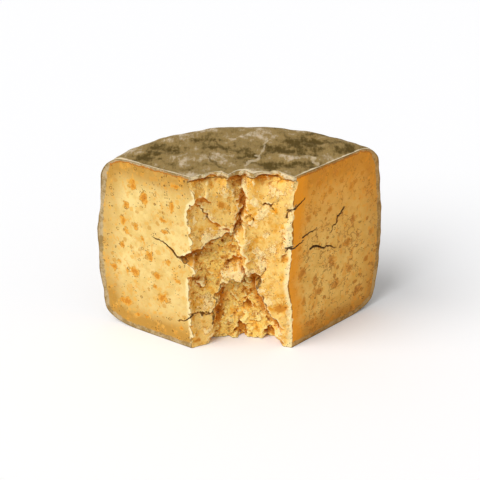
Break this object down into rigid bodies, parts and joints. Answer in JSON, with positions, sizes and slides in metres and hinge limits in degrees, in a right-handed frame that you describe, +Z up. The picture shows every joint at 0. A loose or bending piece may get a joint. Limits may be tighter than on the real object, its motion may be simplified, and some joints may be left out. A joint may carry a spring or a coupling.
{
  "type": "parmesan chunk",
  "caption": "Wide wedge of hard, grainy aged cheese at the full height of its drum, with a broken front, two flat cut sides and rind on the top, bottom and round back.",
  "frame": {"origin": "middle of the chunk's box, on the surface it rests on", "axes": "+Z up along the axis of the drum it was cut from, -Y towards the broken front, +X to the right of someone who looks at the broken front"},
  "size_m": [0.3272, 0.1674, 0.22],
  "materials": {
    "cheese": "dry, faintly waxy pale yellow paste with amber flecks and a grainy break, under an olive brown rind"
  },
  "bodies": {
    "root": {"parmesan_chunk": "cheese"}
  },
  "joints": []
}
